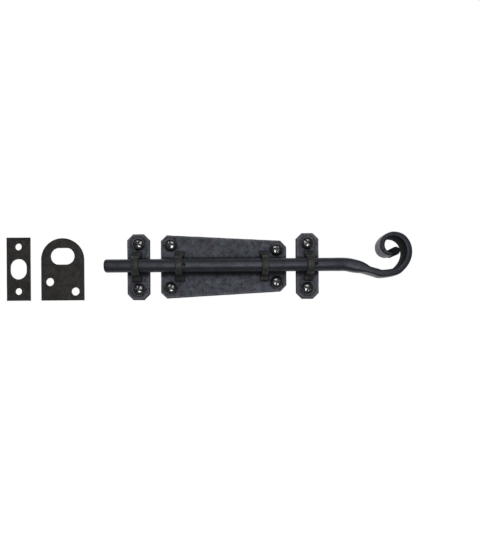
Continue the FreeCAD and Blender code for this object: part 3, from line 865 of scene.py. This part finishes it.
class SLIDE_BOLT_OT_tail(bpy.types.Operator):
    """Forge the tail: the neck that flattens, the curling band and its rolled bead"""

    bl_idname = "slide_bolt.tail"
    bl_label = "Forged Tail"

    # Along the neck, in mm: distance past the rod's end, height of the middle, thickness and
    # width, and then the squareness
    neck = (
        (0.05, 0.0, 10.0, 10.0, 2.0),
        (2.0, 0.0, 10.0, 10.0, 2.0),
        (4.0, 0.0, 10.0, 10.0, 2.0),
        (7.0, -0.35, 10.0, 10.3, 2.3),
        (10.5, -1.1, 9.9, 10.8, 2.6),
        (15.0, -2.1, 9.1, 11.5, 3.0),
        (18.5, -3.3, 7.5, 12.1, 3.4),
        (22.0, -4.8, 5.8, 12.6, 4.0),
        (27.0, -6.3, 5.7, 13.2, 4.0),
        (32.0, -7.5, 5.75, 13.7, 4.0),
    )
    band_squareness = 4.6

    def curl_station(self, tail, turn):
        """The band at one angle of the curl, in the neck's own terms and in metres."""
        along = (turn - tail.start) / (tail.end - tail.start)
        thickness = tail.thickness_start + along * (tail.thickness_end - tail.thickness_start)
        width = tail.width_start + along * (tail.width_end - tail.width_start)
        outside = tail.radius * math.exp(-tail.tightening * turn + tail.loosening * turn * turn)
        radius = outside - thickness / 2
        return (tail.centre_along + radius * math.cos(turn),
                tail.centre_up + radius * math.sin(turn), thickness, width, self.band_squareness)

    def stations(self, tail):
        """The whole tail as a smooth run through its stations."""
        chosen = [tuple(value * MM for value in row[:4]) + (row[4],) for row in self.neck]
        turn = tail.start
        while turn < tail.end + tail.step / 4:
            chosen.append(self.curl_station(tail, turn))
            turn += tail.step
        steps = 8
        smooth = []
        for index in range(len(chosen) - 1):
            before, first = chosen[max(index - 1, 0)], chosen[index]
            second, after = chosen[index + 1], chosen[min(index + 2, len(chosen) - 1)]
            for step in range(steps):
                smooth.append(tuple(catmull_rom(numbers, step / steps)
                                    for numbers in zip(before, first, second, after)))
        return smooth + [chosen[-1]]

    def execute(self, context):
        tail = context.scene.slide_bolt_tail
        rows = self.stations(tail)
        middles = [Vector((ROD_HIGH.x + row[0], ROD_Y, row[1])) for row in rows]
        stations = []
        for index, row in enumerate(rows):
            travel = middles[min(index + 1, len(rows) - 1)] - middles[max(index - 1, 0)]
            travel = ALONG.copy() if index < 2 else travel.normalized()
            through = Vector((-travel.z, 0, travel.x))
            stations.append((middles[index], INTO_DOOR, through, row[3], row[2], row[4]))
        bm = bmesh.new()
        sweep(bm, stations, 40)
        forge(bm, tail.dent, 4.6 * MM, TAIL_MARKS, fade=clear_of_the_parting)

        # Painted shade darkens the inside of the curl, and a painted shade line runs along the
        # band's outer face at its rim on the viewer's side
        painted_shade_and_darkening, inner = layer(bm, "painted_shade_and_darkening"), layer(bm, "inner")
        for vert in bm.verts:
            past_neck = edge_share((vert.co.x - ROD_HIGH.x) / MM, 20.0, 30.0)
            toward_viewer = edge_share((ROD_Y - vert.co.y) / tail.width_start, 0.35, 0.45)
            painted_rim_shade = 0.45 * toward_viewer * edge_share(-vert[inner], 0.55, 0.85)
            vert[painted_shade_and_darkening] = past_neck * max(edge_share(vert[inner], 0.55, 0.85), painted_rim_shade)

        travel = (middles[-1] - middles[-2]).normalized()
        inward = Vector((-travel.z, 0, travel.x))
        reach = tail.bead / 2 - tail.bead_overlap
        drop = tail.bead / 2 - tail.thickness_end / 2
        lay = Matrix.Translation(middles[-1] + travel * reach + inward * drop) @ FACE_ON
        made = bmesh.ops.create_cone(bm, cap_ends=True, segments=40, radius1=tail.bead / 2,
                                     radius2=tail.bead / 2, depth=tail.width_end, matrix=lay)
        rims = {edge for vert in made["verts"] for edge in vert.link_edges
                if abs(edge.verts[0].co.y - edge.verts[1].co.y) < FLUSH}
        round_edges(bm, list(rims), tail.bead / 6, 4)
        # Painted shade on the rolled bead and on the band round it
        axis = lay.translation
        for vert in bm.verts:
            away = math.hypot(vert.co.x - axis.x, vert.co.z - axis.z) / (tail.bead / 2)
            vert[painted_shade_and_darkening] = max(vert[painted_shade_and_darkening], 0.85 * (1 - edge_share(away, 1.02, 1.5)))
        stand_for(bm, "forged_curl_tail", "curl_tail",
                  rod_iron(context.scene.slide_bolt_finish))
        return {"FINISHED"}


class SLIDE_BOLT_OT_screws(bpy.types.Operator):
    """Turn the eight wood screws, with domed heads, cross recesses and cut threads"""

    bl_idname = "slide_bolt.screws"
    bl_label = "Wood Screws"

    # How far each screw's cross is turned about its own axis, in degrees
    turns = {
        "screw_keeper_top": 35,
        "screw_keeper_bottom": 20,
        "screw_backplate_left_top": 0,
        "screw_backplate_left_bottom": 25,
        "screw_backplate_right_top": 5,
        "screw_backplate_right_bottom": 20,
        "screw_guide_top": 40,
        "screw_guide_bottom": 25,
    }

    # How far the cross narrows at its floor, along an arm and across it, and the dome's curve
    arm_length_kept, arm_width_kept = 0.85, 0.25
    dome_flatness, dome_fullness = 2.3, 0.65
    cells_per_radius = 11

    def head(self, bm, sizes, radius, height):
        """The domed head with its cross, and the ring of edges left open round its rim."""
        painted_shade_and_darkening = layer(bm, "painted_shade_and_darkening")
        bmesh.ops.create_circle(bm, cap_ends=True, segments=60, radius=radius, matrix=FACE_ON)
        half_width, half_length = sizes.recess_width / 2, sizes.recess_length / 2
        for direction in (ALONG, UP):
            for reach in (half_width, half_length):
                for side in (1, -1):
                    geom = bm.verts[:] + bm.edges[:] + bm.faces[:]
                    bmesh.ops.bisect_plane(bm, geom=geom, dist=1e-7, plane_no=direction,
                                           plane_co=direction * side * reach)
            crosscut(bm, direction, -radius, radius, radius / self.cells_per_radius)

        def in_cross(face):
            centre = face.calc_center_median()
            across, up = abs(centre.x), abs(centre.z)
            return min(across, up) < half_width and max(across, up) < half_length

        cross = [face for face in bm.faces if in_cross(face)]
        grown = bmesh.ops.extrude_face_region(bm, geom=cross)
        floor = {item for item in grown["geom"] if isinstance(item, bmesh.types.BMVert)}
        bmesh.ops.delete(bm, geom=[face for face in cross if face.is_valid], context="FACES")
        dome = height - sizes.rim
        for vert in bm.verts:
            if vert in floor:
                # The arms narrow toward their floor, which rises from the middle to their ends
                along_x, along_z = (abs(part) > half_width * 1.01 for part in vert.co.xz)
                reach = max(abs(vert.co.x), abs(vert.co.z)) / half_length
                # The cross's floor is painted black: painted shade in the recess
                vert[painted_shade_and_darkening] = 1.0
                kept_x, kept_z = (self.arm_length_kept if along else self.arm_width_kept
                                  for along in (along_x, along_z))
                vert.co = Vector((vert.co.x * kept_x,
                                  sizes.recess_depth * (1.25 - 0.4 * reach) - height,
                                  vert.co.z * kept_z))
            else:
                flat = Vector((vert.co.x, vert.co.z))
                reach = flat.length / radius
                if reach > 0.90:
                    reach = 1.0 if reach > 0.99 else 0.945
                    flat = flat.normalized() * radius * reach
                rise = dome * (1 - reach ** self.dome_flatness) ** self.dome_fullness
                vert.co = Vector((flat.x, -(sizes.rim + rise), flat.y))
        return [edge for edge in bm.edges if edge.is_boundary]

    def shank(self, bm, sizes, edges, radius, length_below):
        """Everything under the dome, ring by ring down to the tip."""
        shank, root, tip = sizes.shank / 2, sizes.root / 2, sizes.tip / 2
        rim_break, run_out = 0.25 * MM, 0.9 * MM
        taper = length_below - sizes.point
        rings = ((radius, -rim_break), (radius - rim_break, 0.0), (shank, 0.0),
                 (shank, sizes.plain), (root, sizes.plain + run_out), (root, taper),
                 (tip, length_below))
        for wanted, y in rings:
            verts, edges = draw_out(bm, edges)
            for vert in verts:
                flat = Vector((vert.co.x, vert.co.z)).normalized() * wanted
                vert.co = Vector((flat.x, y, flat.y))
        bmesh.ops.holes_fill(bm, edges=edges, sides=0)

    def thread(self, bm, sizes, length_below):
        """A sharp ridge wound round the root, thinning out over the point."""
        crest, root, pitch = sizes.shank / 2, sizes.root / 2 - 0.1 * MM, sizes.pitch
        start = sizes.plain + 0.6 * MM
        steps = 22
        wound = int((length_below - 1.2 * MM - start) / pitch * steps)
        verts = [bm.verts.new((radius, start + y, 0)) for radius, y in
                 ((root, -0.32 * pitch), (crest, 0.0), (root, 0.32 * pitch))]
        face = bm.faces.new(verts)
        before = set(bm.verts) - set(verts)
        bmesh.ops.spin(bm, geom=[face, *face.edges, *verts], cent=(0, 0, 0), axis=INTO_DOOR,
                       dvec=(0, pitch / steps, 0), angle=2 * math.pi * wound / steps, steps=wound)
        taper = length_below - sizes.point
        for vert in set(bm.verts) - before:
            if vert.co.y > taper:
                shrink = 1 - 0.88 * (vert.co.y - taper) / sizes.point
                vert.co.x *= shrink
                vert.co.z *= shrink

    def execute(self, context):
        sizes = context.scene.slide_bolt_screws
        lacquer = screw_lacquer(context.scene.slide_bolt_finish)
        for name in SCREWS:
            low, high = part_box(name)
            bm = bmesh.new()
            radius = (high.x - low.x) / 2
            rim = self.head(bm, sizes, radius, PLATE_FRONT - low.y)
            self.shank(bm, sizes, rim, radius, high.y - PLATE_FRONT)
            self.thread(bm, sizes, high.y - PLATE_FRONT)
            centre = middle(name)
            turn = Matrix.Rotation(math.radians(self.turns[name]), 4, "Y")
            bm.transform(Matrix.Translation((centre.x, PLATE_FRONT, centre.z)) @ turn)
            stand_for(bm, "wood_" + name, name, lacquer)
        return {"FINISHED"}


class SLIDE_BOLT_OT_strikes(bpy.types.Operator):
    """Cut the two loose strikes, the oblong one and the half-round one"""

    bl_idname = "slide_bolt.strikes"
    bl_label = "Strikes"

    bevel = 0.2 * MM
    dent_share = 0.45

    def slot(self, x, z, width, height, front, edge_break):
        """Rings of a slot with round ends, its front edge broken."""
        radius = min(width, height) / 2
        reach = (width / 2 - radius, height / 2 - radius)
        return [(x, DOOR_FACE, z, radius, *reach), (x, front + edge_break, z, radius, *reach),
                (x, front, z, radius + edge_break, *reach)]

    def half_round_outline(self, low, high):
        """Square at the bottom and a half circle at the top."""
        radius = (high.x - low.x) / 2
        centre = Vector(((low.x + high.x) / 2, high.z - radius))
        top = [tuple(point) for point, _ in arc(centre, radius, 0.0, math.pi, 44)]
        return [(low.x, low.z), (high.x, low.z)] + top

    def execute(self, context):
        sizes = context.scene.slide_bolt_plates
        iron = strike_iron(context.scene.slide_bolt_finish)

        low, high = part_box("mortise_strike")
        centre = middle("mortise_strike")
        corners = [(low.x, low.z), (high.x, low.z), (high.x, high.z), (low.x, high.z)]
        openings = [(centre.x, centre.z, sizes.mortise_slot_width, sizes.mortise_slot_height)]
        for side in (1, -1):
            z = centre.z + side * sizes.mortise_spacing / 2
            openings.append((centre.x, z, sizes.mortise_hole, sizes.mortise_hole))
        self.cut("mortise_strike", corners, openings, sizes, iron, MORTISE_MARKS)

        low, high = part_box("half_round_strike")
        centre = middle("half_round_strike")
        corners = self.half_round_outline(low, high)
        openings = [(centre.x, high.z - sizes.half_slot_drop, sizes.half_slot_width,
                     sizes.half_slot_height)]
        for side in (1, -1):
            x = centre.x + side * sizes.half_hole_across
            z = high.z - sizes.half_hole_drop - side * sizes.half_hole_skew
            openings.append((x, z, sizes.half_hole, sizes.half_hole))
        self.cut("half_round_strike", corners, openings, sizes, iron, HALF_ROUND_MARKS)
        return {"FINISHED"}

    def cut(self, node, corners, openings, sizes, iron, seed):
        """Build one strike from its outline and openings, marked more lightly than a plate."""
        low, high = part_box(node)
        holes = [self.slot(*opening, low.y, sizes.hole_break) for opening in openings]
        bm = bmesh.new()
        pierced_plate(bm, corners, low.y, self.bevel, holes)
        cut_in_cells(bm, low, high, sizes.mesh_cell)
        forge(bm, sizes.dent_depth * self.dent_share, sizes.dent_size, seed, flat_y=DOOR_FACE)
        stand_for(bm, "cut_" + node, node, iron)


class SLIDE_BOLT_OT_stage(bpy.types.Operator):
    """Lay the pale floor, hang the soft lights and set the camera"""

    bl_idname = "slide_bolt.stage"
    bl_label = "Stage"

    def softbox(self, context, name, place, size, power):
        """A soft light aimed at the middle of the bolt."""
        light = bpy.data.lights.new(name, "AREA")
        light.shape = "RECTANGLE"
        light.size, light.size_y = size
        light.energy = power
        lamp = bpy.data.objects.new(name, light)
        lamp.location = place
        lamp.rotation_euler = (-Vector(place)).to_track_quat("-Z", "Y").to_euler()
        context.scene.collection.objects.link(lamp)

    def room(self, context, studio):
        """An even pale room, seen as plain white."""
        world = bpy.data.worlds.new("Pale Room")
        context.scene.world = world
        world.use_nodes = True
        tree = world.node_tree
        seen = tree.nodes["Background"]
        seen.inputs["Color"].default_value = (1, 1, 1, 1)
        seen.inputs["Strength"].default_value = 1.0
        lit = tree.nodes.new("ShaderNodeBackground")
        lit.inputs["Color"].default_value = (0.96, 0.98, 1.0, 1)
        direction = tree.nodes.new("ShaderNodeTexCoord")
        parts = tree.nodes.new("ShaderNodeSeparateXYZ")
        tree.links.new(direction.outputs["Generated"], parts.inputs[0])
        strength = remap(tree, parts.outputs["Y"], 0.0, 0.4, studio.room, studio.backdrop)
        tree.links.new(strength, lit.inputs["Strength"])
        path = tree.nodes.new("ShaderNodeLightPath")
        mix = tree.nodes.new("ShaderNodeMixShader")
        tree.links.new(path.outputs["Is Camera Ray"], mix.inputs[0])
        tree.links.new(lit.outputs[0], mix.inputs[1])
        tree.links.new(seen.outputs[0], mix.inputs[2])
        tree.links.new(mix.outputs[0], tree.nodes["World Output"].inputs["Surface"])

    def floor(self, context, studio, finish):
        """A wide floor below the bolt, bright enough to fade into the room."""
        material = bpy.data.materials.new("Pale Floor")
        material.use_nodes = True
        shader = material.node_tree.nodes["Principled BSDF"]
        shader.inputs["Base Color"].default_value = (*finish.floor, 1)
        shader.inputs["Roughness"].default_value = 0.8
        shader.inputs["Emission Color"].default_value = (1, 1, 1, 1)
        shader.inputs["Emission Strength"].default_value = 1.0
        mesh = bpy.data.meshes.new("studio_floor")
        bm = bmesh.new()
        height = CAD_BOX[0].z - studio.floor_drop
        bmesh.ops.create_grid(bm, x_segments=1, y_segments=1, size=studio.floor_size / 2,
                              matrix=Matrix.Translation((0, 0, height)))
        bm.to_mesh(mesh)
        bm.free()
        mesh.materials.append(material)
        floor = bpy.data.objects.new("studio_floor", mesh)
        floor.visible_diffuse = False
        floor.visible_glossy = False
        context.scene.collection.objects.link(floor)

    def camera(self, context, studio):
        """A camera square to the door but for a slight lean."""
        lens = bpy.data.cameras.new("Camera")
        lens.sensor_width = studio.sensor / MM
        lens.lens = studio.lens / MM
        lens.shift_x, lens.shift_y = studio.shift_side, studio.shift_up
        lens.clip_start, lens.clip_end = 0.01, 50.0
        camera = bpy.data.objects.new("Camera", lens)
        place = Vector((studio.camera_side, -studio.camera_distance, -studio.camera_drop))
        lean = Matrix.Rotation(-studio.camera_roll, 4, "Z")
        camera.matrix_world = Matrix.Translation(place) @ FACE_ON @ lean
        context.scene.collection.objects.link(camera)
        context.scene.camera = camera

    def execute(self, context):
        studio, finish = context.scene.slide_bolt_studio, context.scene.slide_bolt_finish
        self.room(context, studio)
        self.floor(context, studio, finish)
        self.softbox(context, "Near Softbox", (0.03, -0.42, -0.09), (0.26, 0.18), studio.near_light)
        self.softbox(context, "Front Softbox", (0.0, -0.50, 0.22), (0.5, 0.3), studio.front_light)
        self.camera(context, studio)
        context.scene.view_settings.view_transform = "Standard"
        return {"FINISHED"}


class SLIDE_BOLT_PT_sidebar(bpy.types.Panel):
    """Slide bolt pieces and their sizes"""

    bl_idname = "SLIDE_BOLT_PT_sidebar"
    bl_label = "Slide Bolt"
    bl_space_type = "VIEW_3D"
    bl_region_type = "UI"
    bl_category = "Slide Bolt"

    def draw(self, context):
        layout = self.layout
        for operator in OPERATORS:
            layout.operator(operator.bl_idname)
        for name in GROUPS:
            settings = getattr(context.scene, name)
            box = layout.box()
            box.label(text=settings.__class__.__name__)
            for key in settings.__annotations__:
                box.prop(settings, key)


GROUPS = {
    "slide_bolt_plates": PlateSizes,
    "slide_bolt_bars": BarSizes,
    "slide_bolt_tail": TailSizes,
    "slide_bolt_screws": ScrewSizes,
    "slide_bolt_finish": Finish,
    "slide_bolt_studio": Studio,
}
OPERATORS = (
    SLIDE_BOLT_OT_stage,
    SLIDE_BOLT_OT_plates,
    SLIDE_BOLT_OT_straps,
    SLIDE_BOLT_OT_spring,
    SLIDE_BOLT_OT_rod,
    SLIDE_BOLT_OT_tail,
    SLIDE_BOLT_OT_screws,
    SLIDE_BOLT_OT_strikes,
)


def register():
    """Register the property groups, the operators and the panel."""
    for name, group in GROUPS.items():
        bpy.utils.register_class(group)
        setattr(bpy.types.Scene, name, PointerProperty(type=group))
    for operator in OPERATORS:
        bpy.utils.register_class(operator)
    bpy.utils.register_class(SLIDE_BOLT_PT_sidebar)


def unregister():
    """Take them away again, in the opposite order."""
    bpy.utils.unregister_class(SLIDE_BOLT_PT_sidebar)
    for operator in reversed(OPERATORS):
        bpy.utils.unregister_class(operator)
    for name, group in reversed(GROUPS.items()):
        delattr(bpy.types.Scene, name)
        bpy.utils.unregister_class(group)


def main():
    """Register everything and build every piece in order."""
    register()
    bpy.ops.slide_bolt.stage()
    bpy.ops.slide_bolt.plates()
    bpy.ops.slide_bolt.straps()
    bpy.ops.slide_bolt.spring()
    bpy.ops.slide_bolt.rod()
    bpy.ops.slide_bolt.tail()
    bpy.ops.slide_bolt.screws()
    bpy.ops.slide_bolt.strikes()


if __name__ == "__main__":
    main()
